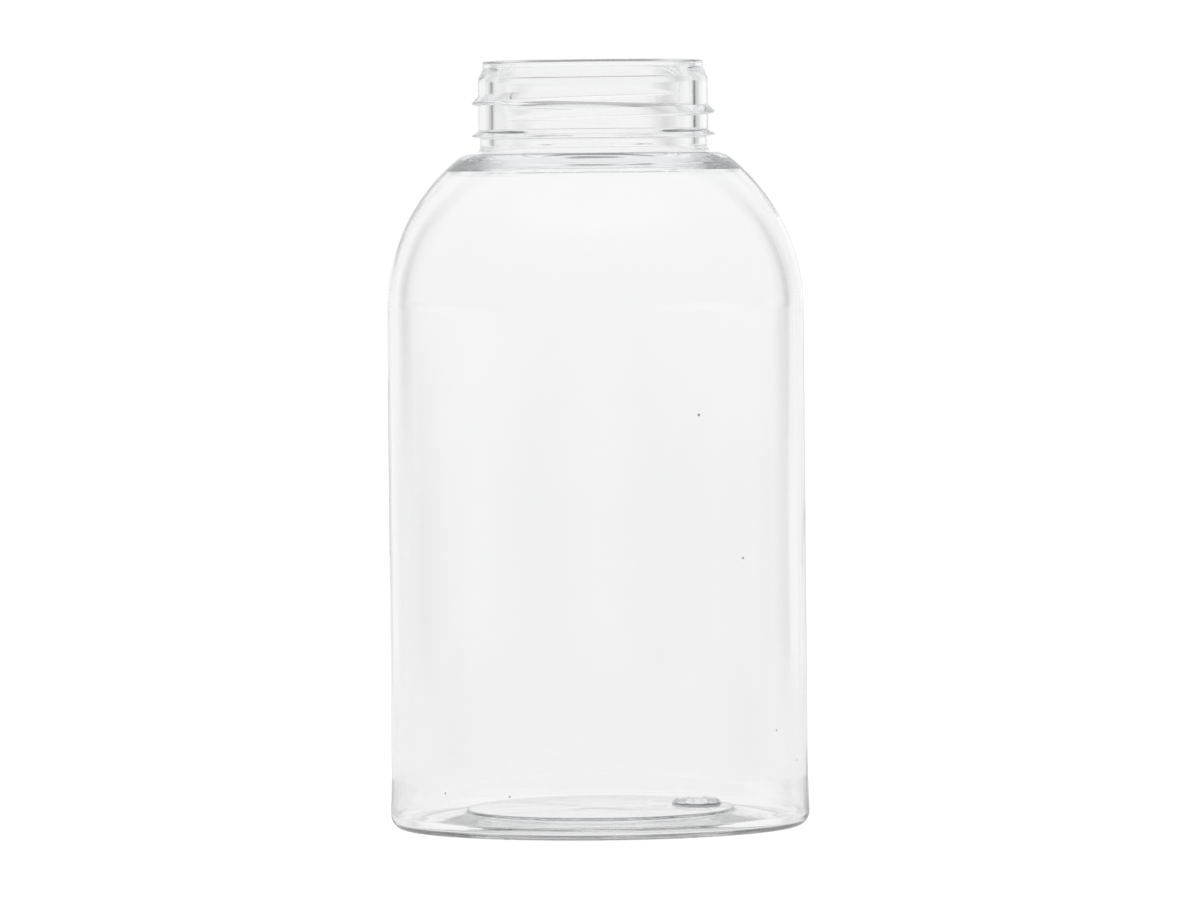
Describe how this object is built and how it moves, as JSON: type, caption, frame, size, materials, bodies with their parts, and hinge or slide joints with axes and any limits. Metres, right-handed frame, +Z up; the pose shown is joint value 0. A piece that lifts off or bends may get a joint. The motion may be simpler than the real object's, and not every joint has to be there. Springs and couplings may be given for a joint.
{
  "type": "wide-mouth boston round bottle",
  "caption": "Clear blown plastic bottle with a straight round body, a domed shoulder and a wide screw-threaded mouth, for filling and capping.",
  "frame": {"origin": "centre of the circle the bottle stands on", "axes": "+Z up along the bottle's axis to the mouth; the pictured side faces -Y, with the thread's beginning on its right"},
  "size_m": [0.09, 0.09, 0.1647],
  "materials": {
    "clear_plastic": "clear, colourless blown plastic with a smooth gloss; the thick neck and shoulder look slightly grey-blue"
  },
  "bodies": {
    "root": {"bottle": "clear_plastic"}
  },
  "joints": []
}
